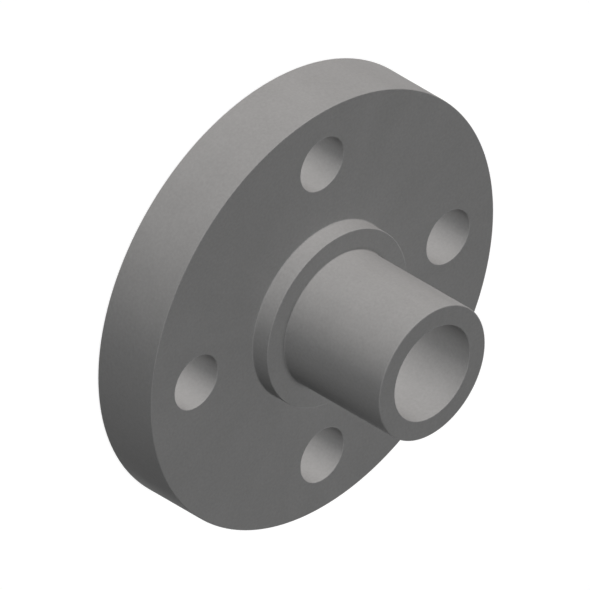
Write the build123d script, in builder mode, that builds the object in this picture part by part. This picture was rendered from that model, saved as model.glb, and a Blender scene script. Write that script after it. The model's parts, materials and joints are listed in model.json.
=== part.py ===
"""Spigot flange for 1 inch Schedule 80 PVC pipework, moulded in one piece.

A solid round flange carries four bolt holes. A short collar rises from its front, and a
plain spigot of pipe size stands on the collar and cements into any 1 inch socket. One bore
runs through all three. The back is the sealing face, ringed with shallow gasket grooves.

Frame: the sealing face lies on Z = 0 with the pipe axis on Z, and the spigot points up +Z.
All sizes are millimetres.
"""

import os

from build123d import *

# Bolting, on the class 150 bolt circle of the 1 inch size
bolt_circle_diameter = 79.4
bolt_hole_diameter = 13.5
bolt_hole_count = 4

# Flange disc: the rim leaves this much material outside each bolt hole
hole_to_rim = 7.55
flange_thickness = 16.8

# Spigot, of 1 inch pipe size, measured from the collar to its end
spigot_diameter = 33.4
spigot_length = 30.0
pipe_wall = 4.9

# Collar that the mating socket stops against
collar_step = 5.3
collar_length = 4.7

# Gasket grooves: as many V-shaped rings as fit at this pitch, clear of bore and bolt holes
groove_pitch = 3.0
groove_width = 1.0
groove_depth = 0.5
groove_land = 3.0

# Broken edges and inside corners
root_radius = 0.3
rim_edge_break = 0.2
collar_edge_break = 0.2
spigot_lead_in = 0.3
bore_edge_break = 0.2
hole_edge_break = 0.2

# Sizes that follow from those above
bolt_circle_radius = bolt_circle_diameter / 2
bolt_hole_radius = bolt_hole_diameter / 2
flange_radius = bolt_circle_radius + bolt_hole_radius + hole_to_rim
spigot_radius = spigot_diameter / 2
bore_radius = spigot_radius - pipe_wall
collar_radius = spigot_radius + collar_step
collar_top = flange_thickness + collar_length
spigot_top = collar_top + spigot_length

# How closely an edge has to match the radius and height that it is chosen by
edge_tolerance = 0.001


def round_edges(part, radius, height):
    """The circular edges of a part that have that radius and lie at that height."""
    low = height - edge_tolerance
    high = height + edge_tolerance
    level_edges = part.edges().filter_by(GeomType.CIRCLE).filter_by_position(Axis.Z, low, high)
    return level_edges.filter_by(lambda edge: abs(edge.radius - radius) < edge_tolerance)


def groove_radii():
    """Radius of each gasket groove, evenly spaced in the middle of the sealing band."""
    band_start = bore_radius + groove_land
    band_end = bolt_circle_radius - bolt_hole_radius - groove_land
    spaces = int((band_end - band_start) / groove_pitch)
    first = (band_start + band_end - spaces * groove_pitch) / 2
    return [first + groove_pitch * index for index in range(spaces + 1)]


with BuildPart() as spigot_flange:
    # Disc, collar and spigot, turned about the pipe axis as one stepped half section
    with BuildSketch(Plane.XZ):
        with BuildLine():
            Polyline(
                (bore_radius, 0),
                (flange_radius, 0),
                (flange_radius, flange_thickness),
                (collar_radius, flange_thickness),
                (collar_radius, collar_top),
                (spigot_radius, collar_top),
                (spigot_radius, spigot_top),
                (bore_radius, spigot_top),
                close=True,
            )
        make_face()
    revolve(axis=Axis.Z)

    # Inside corners at the foot of the collar and the foot of the spigot
    fillet(round_edges(spigot_flange, collar_radius, flange_thickness), root_radius)
    fillet(round_edges(spigot_flange, spigot_radius, collar_top), root_radius)

    # Broken outside edges of the flange rim and the collar
    chamfer(round_edges(spigot_flange, flange_radius, 0), rim_edge_break)
    chamfer(round_edges(spigot_flange, flange_radius, flange_thickness), rim_edge_break)
    chamfer(round_edges(spigot_flange, collar_radius, collar_top), collar_edge_break)

    # Lead-in round the spigot's end, and the bore's two mouths
    chamfer(round_edges(spigot_flange, spigot_radius, spigot_top), spigot_lead_in)
    chamfer(round_edges(spigot_flange, bore_radius, spigot_top), bore_edge_break)
    chamfer(round_edges(spigot_flange, bore_radius, 0), bore_edge_break)

    # Bolt holes through the disc, with their mouths broken on both faces
    with Locations((0, 0, flange_thickness)):
        with PolarLocations(bolt_circle_radius, bolt_hole_count):
            Hole(bolt_hole_radius, depth=flange_thickness)
    chamfer(round_edges(spigot_flange, bolt_hole_radius, flange_thickness), hole_edge_break)
    chamfer(round_edges(spigot_flange, bolt_hole_radius, 0), hole_edge_break)

    # Gasket grooves, V-shaped in section, turned into the sealing face
    with BuildSketch(Plane.XZ):
        with Locations(*[(radius, 0) for radius in groove_radii()]):
            Polygon((-groove_width / 2, 0), (groove_width / 2, 0), (0, groove_depth), align=None)
    revolve(axis=Axis.Z, mode=Mode.SUBTRACT)

spigot_flange.part.label = "spigot_flange"

os.makedirs("parts", exist_ok=True)
export_step(spigot_flange.part, "parts/spigot_flange.step")
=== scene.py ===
"""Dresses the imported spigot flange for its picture, in Blender 4.5.

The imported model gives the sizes. Geometry Nodes turn one stepped section about the pipe axis
and one about each bolt hole, and fill the two flat faces between them. The moulding has a
grey PVC finish and stands on a white floor under plain studio lamps.

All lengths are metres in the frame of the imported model: the sealing face lies on Z = 0, the
pipe axis is Z, and a bolt hole lies on +X.
"""

import json
import logging
import math
from collections.abc import Mapping, Sequence
from dataclasses import dataclass, field
from enum import Enum
from typing import Any

import bmesh
import bpy
from mathutils import Euler, Matrix, Vector

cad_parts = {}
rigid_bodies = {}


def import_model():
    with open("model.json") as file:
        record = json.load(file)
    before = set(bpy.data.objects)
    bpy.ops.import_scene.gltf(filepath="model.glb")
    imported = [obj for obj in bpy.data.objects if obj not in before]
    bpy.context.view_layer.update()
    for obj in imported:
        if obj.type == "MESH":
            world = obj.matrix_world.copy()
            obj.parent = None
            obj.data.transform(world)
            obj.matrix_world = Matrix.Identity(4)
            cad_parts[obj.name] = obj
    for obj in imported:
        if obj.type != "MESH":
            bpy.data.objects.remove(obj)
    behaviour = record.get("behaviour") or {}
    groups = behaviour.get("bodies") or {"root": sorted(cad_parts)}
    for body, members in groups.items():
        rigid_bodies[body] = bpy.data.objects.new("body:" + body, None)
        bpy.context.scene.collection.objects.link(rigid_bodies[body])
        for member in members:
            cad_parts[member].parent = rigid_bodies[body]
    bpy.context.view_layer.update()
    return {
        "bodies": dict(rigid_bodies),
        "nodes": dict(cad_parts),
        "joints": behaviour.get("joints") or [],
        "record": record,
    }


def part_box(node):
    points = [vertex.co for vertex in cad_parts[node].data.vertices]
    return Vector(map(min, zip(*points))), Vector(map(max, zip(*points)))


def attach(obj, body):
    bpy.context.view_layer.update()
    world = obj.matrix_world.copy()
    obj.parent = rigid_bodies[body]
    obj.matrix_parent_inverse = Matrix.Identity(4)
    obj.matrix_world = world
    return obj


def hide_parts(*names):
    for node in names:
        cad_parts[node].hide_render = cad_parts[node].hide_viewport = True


LOG = logging.getLogger("spigot_flange")

BODY = "root"
NODE = "spigot_flange"
SLOT = "grey_pvc"

MM = 0.001
NEUTRAL = (1.0, 1.0, 1.0)
WARM = (1.0, 0.955, 0.93)
WHITE = (1.0, 1.0, 1.0, 1.0)

# Numbers of the Mix node's colour sockets, which share their names with its other sockets
COLOUR_A = 6
COLOUR_B = 7
COLOUR_RESULT = 2


def towards(azimuth: float, elevation: float) -> Vector:
    """Gives the unit vector from the object to a place that lights or watches it.

    Args:
        azimuth: Degrees round the object, 0 towards -Y and 90 towards +X.
        elevation: Degrees above the horizon.

    Returns:
        The direction, of length 1.
    """
    turn = math.radians(azimuth)
    rise = math.radians(elevation)
    level = math.cos(rise)
    return Vector((math.sin(turn) * level, -math.cos(turn) * level, math.sin(rise)))


class NodeBoard:
    """A node tree being filled, for shaders and for geometry alike."""

    def __init__(self, tree: bpy.types.NodeTree) -> None:
        """Starts on an empty tree.

        Args:
            tree: The shader or geometry tree, whose nodes are cleared.
        """
        self.tree = tree
        self.tree.nodes.clear()

    def add(
        self,
        kind: str,
        settings: Mapping[str, Any] | None = None,
        sockets: Mapping[str | int, Any] | None = None,
    ) -> bpy.types.Node:
        """Adds one node, with its settings first and then what its sockets take.

        Args:
            kind: The node's type name, such as ShaderNodeTexNoise.
            settings: The node's own properties, such as a Math node's operation.
            sockets: Values, sockets, signals or lists of sockets by input name or number.

        Returns:
            The new node.
        """
        node = self.tree.nodes.new(kind)
        for name, value in (settings or {}).items():
            setattr(node, name, value)
        for key, value in (sockets or {}).items():
            self.feed(node.inputs[key], value)
        return node

    def feed(self, socket: bpy.types.NodeSocket, value: Any) -> None:
        """Links a socket to another one, or sets its own value.

        Args:
            socket: The input to fill.
            value: A signal, an output socket, a list of output sockets, or a plain value.
        """
        if isinstance(value, Signal):
            self.tree.links.new(value.socket, socket)
        elif isinstance(value, bpy.types.NodeSocket):
            self.tree.links.new(value, socket)
        elif isinstance(value, list):
            for source in value:
                self.tree.links.new(source, socket)
        else:
            socket.default_value = value

    def signal(
        self,
        kind: str,
        settings: Mapping[str, Any] | None = None,
        sockets: Mapping[str | int, Any] | None = None,
        output: str | int = 0,
    ) -> "Signal":
        """Adds one node and wraps one of its outputs.

        Args:
            kind: The node's type name.
            settings: The node's own properties.
            sockets: Values or links by input name or number.
            output: The wanted output's name or number.

        Returns:
            The output as a signal.
        """
        return Signal(self, self.add(kind, settings, sockets).outputs[output])


class Signal:
    """A shader socket that takes part in Python expressions.

    Numbers go through Math nodes. Where either side is a vector, Vector Math does the work.
    """

    def __init__(self, board: NodeBoard, socket: bpy.types.NodeSocket) -> None:
        """Wraps a socket.

        Args:
            board: The tree that new Math nodes are added to.
            socket: The output socket that carries the value.
        """
        self.board = board
        self.socket = socket

    def _work(self, operation: str, first: Any, second: Any) -> "Signal":
        """Adds the node of one operator.

        Args:
            operation: The Math operation, which Vector Math names alike.
            first: The left side, a signal, a number or a triple.
            second: The right side.

        Returns:
            The result.
        """
        sides = (first, second)
        if any(isinstance(side, Signal) and side.socket.type == "VECTOR" for side in sides):
            kind = "ShaderNodeVectorMath"
            sides = tuple((side,) * 3 if isinstance(side, (int, float)) else side for side in sides)
        else:
            kind = "ShaderNodeMath"
        return self.board.signal(kind, {"operation": operation}, dict(enumerate(sides)))

    def __add__(self, other: Any) -> "Signal":
        """Adds another signal, number or triple."""
        return self._work("ADD", self, other)

    def __radd__(self, other: Any) -> "Signal":
        """Is added to a number or triple."""
        return self._work("ADD", other, self)

    def __sub__(self, other: Any) -> "Signal":
        """Takes another signal, number or triple off."""
        return self._work("SUBTRACT", self, other)

    def __rsub__(self, other: Any) -> "Signal":
        """Is taken off a number or triple."""
        return self._work("SUBTRACT", other, self)

    def __mul__(self, other: Any) -> "Signal":
        """Multiplies by another signal, number or triple."""
        return self._work("MULTIPLY", self, other)

    def __rmul__(self, other: Any) -> "Signal":
        """Multiplies a number or triple."""
        return self._work("MULTIPLY", other, self)


def seen_directly(board: NodeBoard) -> Signal:
    """Tells the rays that see the background from those that light the object.

    Args:
        board: The tree of the floor's finish or of the world.

    Returns:
        1 for camera, glossy and transmission rays, and otherwise 0.
    """
    path = board.add("ShaderNodeLightPath")
    camera = Signal(board, path.outputs["Is Camera Ray"])
    glossy = Signal(board, path.outputs["Is Glossy Ray"])
    transmission = Signal(board, path.outputs["Is Transmission Ray"])
    return camera + glossy + transmission


@dataclass(frozen=True)
class GreyPvc:
    """Dark grey rigid PVC as it leaves the mould: satin, with faint clouds, flow and grain.

    Scales are in cells to the metre, or to the radian round the pipe axis. The colour runs
    from `1 - colour_reach` to `1 + colour_reach` times its own value, and a depth is the part
    of that run that one noise takes.
    """

    colour: tuple[float, float, float]
    colour_reach: float = 0.5
    noise_falloff: float = 0.55
    cloud_scale: float = 90.0
    cloud_depth: float = 0.13
    fleck_scale: float = 1500.0
    fleck_depth: float = 0.2
    flow_scale_round: float = 7.0
    flow_scale_along: float = 26.0
    flow_depth: float = 0.07
    grain_scale: float = 2400.0
    grain_height: float = 0.000008
    roughness: float = 0.62
    roughness_spread: float = 0.08
    specular_level: float = 0.15

    def noise(self, board: NodeBoard, place: Signal, scale: float, detail: float) -> Signal:
        """Adds a noise texture, centred on zero.

        Args:
            board: The material's tree.
            place: The coordinates that the noise is read at.
            scale: Cells in a unit of the coordinates.
            detail: How many finer octaves it carries.

        Returns:
            The noise, about -0.5 to 0.5.
        """
        sockets = {
            "Vector": place,
            "Scale": scale,
            "Detail": detail,
            "Roughness": self.noise_falloff,
        }
        return board.signal("ShaderNodeTexNoise", None, sockets, "Fac") - 0.5

    def flow_place(self, board: NodeBoard, place: Signal) -> Signal:
        """Gives coordinates that stretch a pattern outwards from the pipe axis.

        The direction from the axis takes the place of the distance from it, so the pattern
        has no seam on any side.

        Args:
            board: The material's tree.
            place: The object's own coordinates.

        Returns:
            The coordinates, with streaks that run out over flats and up along walls.
        """
        flat = place * (1.0, 1.0, 0.0)
        heading = board.signal("ShaderNodeVectorMath", {"operation": "NORMALIZE"}, {0: flat})
        reach = board.signal("ShaderNodeVectorMath", {"operation": "LENGTH"}, {0: flat}, "Value")
        height = board.signal("ShaderNodeSeparateXYZ", None, {0: place}, "Z")
        along = (reach + height) * self.flow_scale_along
        run = board.signal("ShaderNodeCombineXYZ", None, {"Z": along})
        return heading * self.flow_scale_round + run

    def material(self) -> bpy.types.Material:
        """Builds the material.

        Returns:
            A node material that reads the object's own coordinates.
        """
        made = bpy.data.materials.new(SLOT)
        made.use_nodes = True
        board = NodeBoard(made.node_tree)
        place = board.signal("ShaderNodeTexCoord", None, None, "Object")

        cloud = self.noise(board, place, self.cloud_scale, detail=3.0)
        fleck = self.noise(board, place, self.fleck_scale, detail=1.0)
        flow = self.noise(board, self.flow_place(board, place), scale=1.0, detail=2.0)
        shade = cloud * self.cloud_depth + fleck * self.fleck_depth + flow * self.flow_depth

        deep, pale = (
            tuple(channel * share for channel in self.colour) + (1.0,)
            for share in (1.0 - self.colour_reach, 1.0 + self.colour_reach)
        )
        colour = board.signal(
            "ShaderNodeMix",
            {"data_type": "RGBA"},
            {"Factor": shade + 0.5, COLOUR_A: deep, COLOUR_B: pale},
            COLOUR_RESULT,
        )

        grain = self.noise(board, place, self.grain_scale, detail=2.0)
        sockets = {"Strength": 1.0, "Distance": self.grain_height, "Height": grain}
        bump = board.signal("ShaderNodeBump", None, sockets)
        roughness = (cloud - flow) * self.roughness_spread + self.roughness
        surface = board.add(
            "ShaderNodeBsdfPrincipled",
            None,
            {
                "Base Color": colour,
                "Roughness": roughness,
                "Specular IOR Level": self.specular_level,
                "Normal": bump,
            },
        )
        board.add("ShaderNodeOutputMaterial", None, {"Surface": surface.outputs[0]})
        return made


@dataclass(frozen=True)
class WhiteFloor:
    """The floor's finish: white to look at, with soft shadows, and dim to the object on it."""

    grey: float = 0.3
    glow: float = 0.845
    bounce_grey: float = 0.05

    def diffuse(self, board: NodeBoard, grey: float) -> bpy.types.NodeSocket:
        """Adds a plain matte shader.

        Args:
            board: The material's tree.
            grey: Its reflectance.

        Returns:
            The shader's output.
        """
        sockets = {"Color": (grey, grey, grey, 1.0)}
        return board.add("ShaderNodeBsdfDiffuse", None, sockets).outputs[0]

    def material(self) -> bpy.types.Material:
        """Builds the material.

        Returns:
            A node material whose lit part and glow add up to white outside the shadow.
        """
        made = bpy.data.materials.new("white_floor")
        made.use_nodes = True
        board = NodeBoard(made.node_tree)
        lit = self.diffuse(board, self.grey)
        own = board.add("ShaderNodeEmission", None, {"Strength": self.glow})
        white = board.add("ShaderNodeAddShader", None, {0: lit, 1: own.outputs[0]})
        dim = self.diffuse(board, self.bounce_grey)
        sockets = {0: seen_directly(board), 1: dim, 2: white.outputs[0]}
        mixed = board.add("ShaderNodeMixShader", None, sockets)
        board.add("ShaderNodeOutputMaterial", None, {"Surface": mixed.outputs[0]})
        return made


class TurnedAbout(Enum):
    """The axis that a run of the section is turned about."""

    PIPE_AXIS = 0
    BOLT_HOLE = 1


@dataclass(frozen=True)
class Corner:
    """A corner of a section: its distance from the axis, its height and its rounding."""

    out: float
    up: float
    radius: float = 0.0


@dataclass
class SectionLine:
    """The stepped lines that the moulding is turned from, with rounded corners.

    A rounded corner turns by about `step` from point to point. It has one more point on each
    of its straight runs, `guard` away, so that its smooth shading ends there and the flat
    beside it stays flat.
    """

    step: float = math.radians(18.0)
    step_slack: float = 0.001
    fewest_steps: int = 2
    guard: float = 0.00008
    points: list[tuple[float, float, float]] = field(default_factory=list)
    edges: list[tuple[int, int]] = field(default_factory=list)
    axes: list[int] = field(default_factory=list)

    def rounded(self, before: Corner, corner: Corner, after: Corner) -> list[tuple[float, float]]:
        """Rounds one corner.

        Args:
            before: The corner ahead of it on the line.
            corner: The corner itself.
            after: The corner that follows.

        Returns:
            The points that take the corner's place, as pairs of distance and height.
        """
        tip = Vector((corner.out, corner.up))
        coming = (tip - Vector((before.out, before.up))).normalized()
        going = (Vector((after.out, after.up)) - tip).normalized()
        turn = coming.angle_signed(going)
        tangent = corner.radius * math.tan(abs(turn) / 2)
        start = tip - coming * tangent
        side = Vector((coming.y, -coming.x)) * math.copysign(1.0, turn)
        centre = start + side * corner.radius

        # The slack keeps rounding from adding a step to a turn of whole steps
        steps = max(self.fewest_steps, math.ceil(abs(turn) / self.step - self.step_slack))
        points = [start - coming * self.guard]
        for index in range(steps + 1):
            spoke = Matrix.Rotation(-turn * index / steps, 2) @ (start - centre)
            points.append(centre + spoke)
        points.append(tip + going * (tangent + self.guard))
        return [(point.x, point.y) for point in points]

    def draw(self, corners: Sequence[Corner], about: TurnedAbout) -> None:
        """Adds one open line.

        Args:
            corners: The line's corners in order. The first and the last stay sharp.
            about: The axis that this line is turned about.
        """
        line = [(corners[0].out, corners[0].up)]
        for before, corner, after in zip(corners, corners[1:], corners[2:]):
            line += self.rounded(before, corner, after)
        line.append((corners[-1].out, corners[-1].up))
        first = len(self.points)
        self.points += [(out, 0.0, up) for out, up in line]
        self.edges += [(index, index + 1) for index in range(first, len(self.points) - 1)]
        self.axes += [about.value] * len(line)

    def mesh(self, name: str, attribute: str) -> bpy.types.Mesh:
        """Makes the wire mesh that the node tree starts from.

        Args:
            name: The mesh's name.
            attribute: The name of the point attribute that holds each line's axis.

        Returns:
            The lines as edges in the XZ plane.
        """
        wire = bpy.data.meshes.new(name)
        wire.from_pydata(self.points, self.edges, [])
        wire.attributes.new(attribute, "INT", "POINT").data.foreach_set("value", self.axes)
        return wire


@dataclass
class TurningTree:
    """The geometry tree that turns the section lines into the moulding."""

    attribute: str = "turned_about"
    inputs: dict[str, tuple[str, Any]] = field(default_factory=dict)

    def want(self, name: str, kind: str, value: Any) -> None:
        """Names an input of the tree.

        Args:
            name: The input's name.
            kind: Its socket type without the prefix, such as Float.
            value: The value that this moulding gives it.
        """
        self.inputs[name] = (kind, value)

    def turned(
        self,
        board: NodeBoard,
        lines: bpy.types.NodeSocket,
        radius: bpy.types.NodeSocket,
        steps: bpy.types.NodeSocket,
    ) -> bpy.types.NodeSocket:
        """Sweeps section lines round a circle about Z.

        Args:
            board: The tree.
            lines: The lines as a mesh in the XZ plane, with X the distance from the axis.
            radius: The circle's radius, which is taken off the lines again.
            steps: The number of points on the circle.

        Returns:
            The turned mesh.
        """
        curve = board.add("GeometryNodeMeshToCurve", None, {"Mesh": lines})
        inwards = board.add("ShaderNodeMath", {"operation": "MULTIPLY"}, {0: radius, 1: -1.0})
        shift = board.add("ShaderNodeCombineXYZ", None, {"X": inwards.outputs[0]})
        profile = board.add(
            "GeometryNodeTransform",
            None,
            {
                "Geometry": curve.outputs[0],
                "Translation": shift.outputs[0],
                "Rotation": Euler((math.pi / 2, 0.0, 0.0)),
            },
        )
        circle = self.ring(board, radius, steps)
        swept = board.add(
            "GeometryNodeCurveToMesh",
            None,
            {"Curve": circle, "Profile Curve": profile.outputs[0]},
        )
        return swept.outputs[0]

    def ring(
        self, board: NodeBoard, radius: bpy.types.NodeSocket, steps: bpy.types.NodeSocket
    ) -> bpy.types.NodeSocket:
        """Adds a circle about Z, with its first point on +X.

        Args:
            board: The tree.
            radius: Its radius.
            steps: Its number of points.

        Returns:
            The circle as a curve.
        """
        sockets = {"Resolution": steps, "Radius": radius}
        return board.add("GeometryNodeCurvePrimitiveCircle", None, sockets).outputs[0]

    def at_bolt_holes(
        self, board: NodeBoard, given: Mapping[str, bpy.types.NodeSocket], item: bpy.types.NodeSocket
    ) -> bpy.types.NodeSocket:
        """Repeats a geometry at every bolt hole.

        Args:
            board: The tree.
            given: The tree's inputs by name.
            item: What stands at one hole, centred on Z.

        Returns:
            The repeats as instances.
        """
        sockets = {"Vertices": given["Bolt Hole Count"], "Radius": given["Bolt Circle Radius"]}
        holes = board.add("GeometryNodeMeshCircle", {"fill_type": "NONE"}, sockets)
        sockets = {"Points": holes.outputs[0], "Instance": item}
        return board.add("GeometryNodeInstanceOnPoints", None, sockets).outputs[0]

    def flat(
        self, board: NodeBoard, given: Mapping[str, bpy.types.NodeSocket], inner: str, height: str
    ) -> bpy.types.NodeSocket:
        """Fills one flat face between the rim, the middle and the bolt holes.

        Args:
            board: The tree.
            given: The tree's inputs by name.
            inner: The input that holds the radius of the face's inner edge.
            height: The input that holds the face's height.

        Returns:
            The face as a mesh of triangles.
        """
        outline = self.ring(board, given["Flat Radius"], given["Steps Around"])
        middle = self.ring(board, given[inner], given["Steps Around"])
        mouth = self.ring(board, given["Mouth Radius"], given["Steps Per Hole"])
        mouths = self.at_bolt_holes(board, given, mouth)
        rings = board.add("GeometryNodeJoinGeometry", None, {0: [outline, middle, mouths]})
        whole = board.add("GeometryNodeRealizeInstances", None, {0: rings.outputs[0]})
        fill = board.add("GeometryNodeFillCurve", {"mode": "TRIANGLES"}, {0: whole.outputs[0]})
        shift = board.add("ShaderNodeCombineXYZ", None, {"Z": given[height]})
        sockets = {"Geometry": fill.outputs[0], "Translation": shift.outputs[0]}
        return board.add("GeometryNodeTransform", None, sockets).outputs[0]

    def build(self, name: str) -> bpy.types.NodeTree:
        """Builds the whole tree.

        Args:
            name: The tree's name.

        Returns:
            The tree, with its inputs named and its result made real and given its material.
        """
        tree = bpy.data.node_groups.new(name, "GeometryNodeTree")
        face = tree.interface
        face.new_socket("Geometry", in_out="INPUT", socket_type="NodeSocketGeometry")
        for label, (kind, _) in self.inputs.items():
            face.new_socket(label, in_out="INPUT", socket_type=f"NodeSocket{kind}")
        face.new_socket("Geometry", in_out="OUTPUT", socket_type="NodeSocketGeometry")
        board = NodeBoard(tree)
        given = {socket.name: socket for socket in board.add("NodeGroupInput").outputs}

        axis = board.add("GeometryNodeInputNamedAttribute", {"data_type": "INT"}, {0: self.attribute})
        sockets = {"Geometry": given["Geometry"], "Selection": axis.outputs[0]}
        parted = board.add("GeometryNodeSeparateGeometry", {"domain": "POINT"}, sockets)
        hole_line = parted.outputs["Selection"]
        body_lines = parted.outputs["Inverted"]

        body = self.turned(board, body_lines, given["Bolt Circle Radius"], given["Steps Around"])
        wall = self.turned(board, hole_line, given["Mouth Radius"], given["Steps Per Hole"])
        walls = self.at_bolt_holes(board, given, wall)
        front = self.flat(board, given, "Front Inner Radius", "Front Height")
        back = self.flat(board, given, "Back Inner Radius", "Back Height")
        back = board.add("GeometryNodeFlipFaces", None, {"Mesh": back}).outputs[0]

        joined = board.add("GeometryNodeJoinGeometry", None, {0: [body, walls, front, back]})
        smooth = board.add("GeometryNodeSetShadeSmooth", None, {"Geometry": joined.outputs[0]})
        real = board.add("GeometryNodeRealizeInstances", None, {0: smooth.outputs[0]})
        sockets = {"Geometry": real.outputs[0], "Material": given["Material"]}
        dressed = board.add("GeometryNodeSetMaterial", None, sockets)
        board.add("NodeGroupOutput", None, {0: dressed.outputs[0]})
        return tree

    def modify(self, piece: bpy.types.Object) -> bpy.types.NodesModifier:
        """Puts the tree on a piece and gives its inputs their values.

        Args:
            piece: The object whose mesh holds the section lines.

        Returns:
            The modifier, ready to be evaluated.
        """
        modifier = piece.modifiers.new("turning", "NODES")
        modifier.node_group = self.build(f"{piece.name}_turning")
        for item in modifier.node_group.interface.items_tree:
            if item.in_out == "INPUT" and item.name in self.inputs:
                modifier[item.identifier] = self.inputs[item.name][1]
        return modifier


@dataclass
class FlangeMoulding:
    """The one-piece moulding: flange, collar, spigot and bore, with its sealing face."""

    flange_radius: float
    flange_thickness: float
    collar_radius: float
    collar_top: float
    spigot_radius: float
    spigot_top: float
    bore_radius: float
    bolt_circle_radius: float
    bolt_hole_radius: float
    bolt_hole_count: int
    root_radius: float = 0.0003
    rim_edge: float = 0.0002
    collar_edge: float = 0.0002
    spigot_edge: float = 0.0003
    bore_edge: float = 0.0002
    hole_edge: float = 0.0002
    groove_pitch: float = 0.003
    groove_width: float = 0.001
    groove_depth: float = 0.0005
    groove_land: float = 0.003
    groove_lip: float = 0.0001
    groove_root: float = 0.00015
    flat_margin: float = 0.0003
    steps_around: int = 192
    steps_per_hole: int = 64
    weld: float = 0.000002
    name: str = "flange_moulding"

    @classmethod
    def from_frame(cls, frame: Mapping[str, Any]) -> "FlangeMoulding":
        """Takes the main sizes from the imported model.


        Returns:
            The moulding, with its sizes set and not yet built.
        """
        mounts = {mount["name"]: mount for mount in frame["record"]["mounts"]}
        pattern = mounts["bolt_circle"]["dims"]
        lowest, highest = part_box(NODE)
        thickness = mounts["bolting_face"]["pos_m"][2]
        collar_top = mounts["collar_face"]["pos_m"][2]

        # No mount has the collar's radius, and above the flange nothing reaches further out
        middle = (thickness + collar_top) / 2
        upper = [point.co for point in frame["nodes"][NODE].data.vertices if point.co.z > middle]
        return cls(
            flange_radius=(highest.x - lowest.x) / 2,
            flange_thickness=thickness,
            collar_radius=max(point.xy.length for point in upper),
            collar_top=collar_top,
            spigot_radius=mounts["spigot"]["dims"]["r_mm"] * MM,
            spigot_top=highest.z,
            bore_radius=mounts["bore"]["dims"]["r_mm"] * MM,
            bolt_circle_radius=pattern["pcd_mm"] * MM / 2,
            bolt_hole_radius=pattern["hole_r_mm"] * MM,
            bolt_hole_count=pattern["count"],
        )

    def groove_radii(self) -> list[float]:
        """Spaces the gasket grooves between the bore and the bolt holes.

        Returns:
            The radius of each groove's bottom, from the innermost.
        """
        start = self.bore_radius + self.groove_land
        end = self.bolt_circle_radius - self.bolt_hole_radius - self.groove_land
        spaces = int((end - start) / self.groove_pitch)
        first = (start + end - spaces * self.groove_pitch) / 2
        return [first + self.groove_pitch * index for index in range(spaces + 1)]

    def groove(self, radius: float) -> list[Corner]:
        """Gives the three corners of one V-shaped groove.

        Args:
            radius: The radius of the groove's bottom.

        Returns:
            The inner lip, the bottom and the outer lip.
        """
        half = self.groove_width / 2
        return [
            Corner(radius - half, 0.0, self.groove_lip),
            Corner(radius, self.groove_depth, self.groove_root),
            Corner(radius + half, 0.0, self.groove_lip),
        ]

    @property
    def flat_radius(self) -> float:
        """The outer radius of both flat faces."""
        return self.flange_radius - self.rim_edge - self.flat_margin

    @property
    def front_inner(self) -> float:
        """The inner radius of the front face."""
        return self.collar_radius + self.root_radius + self.flat_margin

    @property
    def back_inner(self) -> float:
        """The inner radius of the plain outer band of the sealing face."""
        return self.groove_radii()[-1] + self.groove_width / 2 + self.flat_margin

    @property
    def mouth_radius(self) -> float:
        """The radius at which a bolt hole's rounded mouth meets the flat faces."""
        return self.bolt_hole_radius + self.hole_edge + self.flat_margin

    def section(self) -> SectionLine:
        """Draws the lines of the moulding: rim, middle and one bolt hole.

        Returns:
            The three lines.
        """
        top = self.flange_thickness
        line = SectionLine()
        rim = [
            Corner(self.flat_radius, 0.0),
            Corner(self.flange_radius, 0.0, self.rim_edge),
            Corner(self.flange_radius, top, self.rim_edge),
            Corner(self.flat_radius, top),
        ]
        line.draw(rim, TurnedAbout.PIPE_AXIS)
        middle = [
            Corner(self.front_inner, top),
            Corner(self.collar_radius, top, self.root_radius),
            Corner(self.collar_radius, self.collar_top, self.collar_edge),
            Corner(self.spigot_radius, self.collar_top, self.root_radius),
            Corner(self.spigot_radius, self.spigot_top, self.spigot_edge),
            Corner(self.bore_radius, self.spigot_top, self.bore_edge),
            Corner(self.bore_radius, 0.0, self.bore_edge),
        ]
        for radius in self.groove_radii():
            middle += self.groove(radius)
        middle.append(Corner(self.back_inner, 0.0))
        line.draw(middle, TurnedAbout.PIPE_AXIS)
        hole = [
            Corner(self.mouth_radius, top),
            Corner(self.bolt_hole_radius, top, self.hole_edge),
            Corner(self.bolt_hole_radius, 0.0, self.hole_edge),
            Corner(self.mouth_radius, 0.0),
        ]
        line.draw(hole, TurnedAbout.BOLT_HOLE)
        return line

    def tree(self, material: bpy.types.Material) -> TurningTree:
        """Names the tree's inputs and gives them this moulding's sizes.

        Args:
            material: The finish that the tree sets.

        Returns:
            The tree, not yet built.
        """
        tree = TurningTree()
        tree.want("Bolt Circle Radius", "Float", self.bolt_circle_radius)
        tree.want("Bolt Hole Count", "Int", self.bolt_hole_count)
        tree.want("Mouth Radius", "Float", self.mouth_radius)
        tree.want("Flat Radius", "Float", self.flat_radius)
        tree.want("Front Inner Radius", "Float", self.front_inner)
        tree.want("Front Height", "Float", self.flange_thickness)
        tree.want("Back Inner Radius", "Float", self.back_inner)
        tree.want("Back Height", "Float", 0.0)
        tree.want("Steps Around", "Int", self.steps_around)
        tree.want("Steps Per Hole", "Int", self.steps_per_hole)
        tree.want("Material", "Material", material)
        return tree

    def weld_seams(self, mesh: bpy.types.Mesh) -> None:
        """Closes the mesh where its runs meet and points its faces outwards.

        Args:
            mesh: The mesh, which is changed in place.

        Raises:
            ValueError: If an edge is left open.
        """
        work = bmesh.new()
        work.from_mesh(mesh)
        bmesh.ops.remove_doubles(work, verts=work.verts, dist=self.weld)
        bmesh.ops.recalc_face_normals(work, faces=work.faces)
        open_edges = sum(1 for edge in work.edges if not edge.is_manifold)
        work.to_mesh(mesh)
        work.free()
        if open_edges:
            raise ValueError(f"{mesh.name} has {open_edges} open edges")

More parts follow.
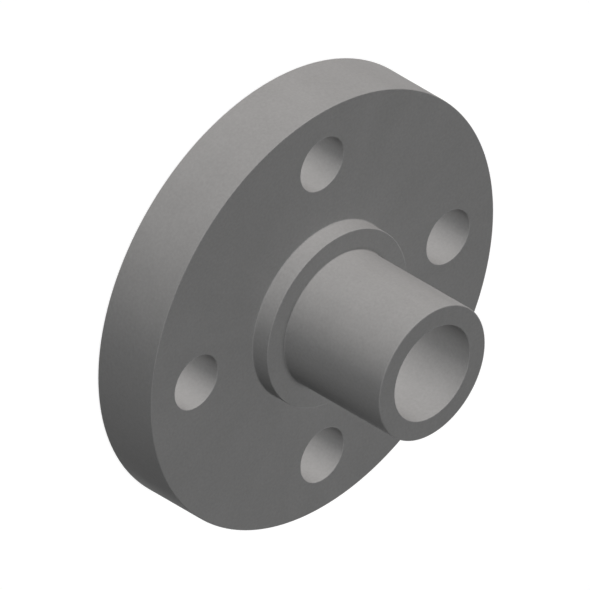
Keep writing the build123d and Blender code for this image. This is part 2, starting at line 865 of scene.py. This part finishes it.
    def build(self, finish: GreyPvc) -> bpy.types.Object:
        """Builds the moulding as one plain mesh.

        Args:
            finish: The finish that it is dressed in.

        Returns:
            The object, at the origin and without modifiers.
        """
        tree = self.tree(finish.material())
        line = self.section().mesh(f"{self.name}_line", tree.attribute)
        piece = bpy.data.objects.new(self.name, line)
        bpy.context.scene.collection.objects.link(piece)
        modifier = tree.modify(piece)
        graph = bpy.context.evaluated_depsgraph_get()
        mesh = bpy.data.meshes.new_from_object(piece.evaluated_get(graph), depsgraph=graph)
        piece.modifiers.remove(modifier)
        piece.data = mesh
        bpy.data.meshes.remove(line)
        mesh.name = self.name
        leftover = mesh.attributes.get(tree.attribute)
        if leftover:
            mesh.attributes.remove(leftover)
        self.weld_seams(mesh)
        return piece


@dataclass(frozen=True)
class Lamp:
    """A lamp of the studio, far away and of even strength, which looks `softness` degrees wide.

    A lamp that casts no shadow is a fill lamp, and does not show in the gloss either.
    """

    name: str
    azimuth: float
    strength: float
    elevation: float = 0.0
    softness: float = 10.0
    colour: tuple[float, float, float] = NEUTRAL
    casts_shadow: bool = False

    def hang(self) -> bpy.types.Object:
        """Puts the lamp in the scene.

        Returns:
            The lamp's object.
        """
        light = bpy.data.lights.new(self.name, "SUN")
        light.energy = self.strength
        light.color = self.colour
        light.angle = math.radians(self.softness)
        light.use_shadow = self.casts_shadow
        lamp = bpy.data.objects.new(self.name, light)
        lamp.visible_glossy = self.casts_shadow
        aim = towards(self.azimuth, self.elevation)
        lamp.location = aim
        lamp.rotation_euler = aim.to_track_quat("Z", "Y").to_euler()
        bpy.context.scene.collection.objects.link(lamp)
        return lamp


@dataclass
class Studio:
    """The white floor, the world and the lamps round the object."""

    lamps: tuple[Lamp, ...] = (
        Lamp("top_lamp", azimuth=0.0, strength=1.62, elevation=90.0, softness=4.0, casts_shadow=True),
        Lamp("key_lamp", azimuth=-15.0, strength=3.2, colour=WARM),
        Lamp("front_lamp", azimuth=30.0, strength=2.42),
        Lamp("side_lamp", azimuth=145.0, strength=0.25),
        Lamp("back_lamp", azimuth=225.0, strength=4.2),
    )
    floor_finish: WhiteFloor = WhiteFloor()
    floor_reach: float = 3.0
    floor_drop: float = 0.0001
    backdrop_light: float = 1.0
    room_light: float = 0.0

    def lay_floor(self) -> bpy.types.Object:
        """Returns:
            The floor.
        """
        reach = self.floor_reach
        corners = [(-reach, -reach), (reach, -reach), (reach, reach), (-reach, reach)]
        mesh = bpy.data.meshes.new("floor")
        mesh.from_pydata([(x, y, -self.floor_drop) for x, y in corners], [], [(0, 1, 2, 3)])
        mesh.materials.append(self.floor_finish.material())
        floor = bpy.data.objects.new("floor", mesh)
        bpy.context.scene.collection.objects.link(floor)
        return floor

    def paint_world(self) -> None:
        """Makes the world white where it is seen and dim where it lights the object."""
        world = bpy.data.worlds.new("studio")
        world.use_nodes = True
        bpy.context.scene.world = world
        board = NodeBoard(world.node_tree)
        sockets = {"Color": WHITE, "Strength": self.room_light}
        dim = board.add("ShaderNodeBackground", None, sockets)
        sockets = {"Color": WHITE, "Strength": self.backdrop_light}
        white = board.add("ShaderNodeBackground", None, sockets)
        sockets = {0: seen_directly(board), 1: dim.outputs[0], 2: white.outputs[0]}
        mixed = board.add("ShaderNodeMixShader", None, sockets)
        board.add("ShaderNodeOutputWorld", None, {"Surface": mixed.outputs[0]})

    def build(self) -> None:
        """Lays the floor, paints the world, hangs the lamps and reports them."""
        bpy.context.scene.view_settings.view_transform = "Standard"
        self.lay_floor()
        self.paint_world()
        for lamp in self.lamps:
            lamp.hang()
            LOG.info("%s at azimuth %.0f, strength %.2f", lamp.name, lamp.azimuth, lamp.strength)


@dataclass
class PictureCamera:
    """The camera of the photograph: an isometric view without perspective.

    The picture's side, the rim's longest diameter and the middle of the flange's front face
    are in the photograph's pixels, from its top left corner. The picture has `upwards` up
    instead of the pipe axis.
    """

    azimuth: float = 45.0
    elevation: float = math.degrees(math.asin(1.0 / math.sqrt(3.0)))
    picture_side: float = 590.0
    rim_across: float = 484.16
    face_at: tuple[float, float] = (321.85, 309.16)
    upwards: Vector = field(default_factory=lambda: Vector((0.0, -1.0, 0.0)))
    distance: float = 1.0

    def place(self, flange: FlangeMoulding) -> bpy.types.Object:
        """Frames the flange as the photograph does.

        Args:
            flange: The moulding, whose rim sets the scale and whose front face the place.

        Returns:
            The camera, made the scene's own.
        """
        pixel = 2 * flange.flange_radius / self.rim_across
        back = towards(self.azimuth, self.elevation)
        right = self.upwards.cross(back).normalized()
        up = back.cross(right)
        middle = (self.picture_side - 1) / 2
        centre = Vector((0.0, 0.0, flange.flange_thickness))
        centre += right * (middle - self.face_at[0]) * pixel
        centre += up * (self.face_at[1] - middle) * pixel

        lens = bpy.data.cameras.new("picture_camera")
        lens.type = "ORTHO"
        lens.ortho_scale = self.picture_side * pixel
        camera = bpy.data.objects.new("picture_camera", lens)
        turn = Matrix((right, up, back)).transposed().to_4x4()
        camera.matrix_world = Matrix.Translation(centre + back * self.distance) @ turn
        bpy.context.scene.collection.objects.link(camera)
        bpy.context.scene.camera = camera
        return camera


def record_colour(frame: Mapping[str, Any], slot: str) -> tuple[float, float, float]:
    """Reads a slot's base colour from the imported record.

    Args:
        slot: The slot's name.

    Returns:
        The colour, linear.
    """
    found = next(entry for entry in frame["record"]["materials"] if entry["slot"] == slot)
    return tuple(found["base_color"])


def main() -> None:
    """Builds the camera, the studio and the moulding, and reports each."""
    logging.basicConfig(level=logging.INFO, format="%(name)s: %(message)s")
    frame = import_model()
    moulding = FlangeMoulding.from_frame(frame)
    camera = PictureCamera().place(moulding)
    LOG.info("%s takes in %.1f mm", camera.name, camera.data.ortho_scale / MM)
    Studio().build()

    piece = moulding.build(GreyPvc(record_colour(frame, SLOT)))
    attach(piece, BODY)
    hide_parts(NODE)
    triangles = sum(len(face.vertices) - 2 for face in piece.data.polygons)
    LOG.info("%s has %d triangles and %d grooves", piece.name, triangles, len(moulding.groove_radii()))


if __name__ == "__main__":
    main()
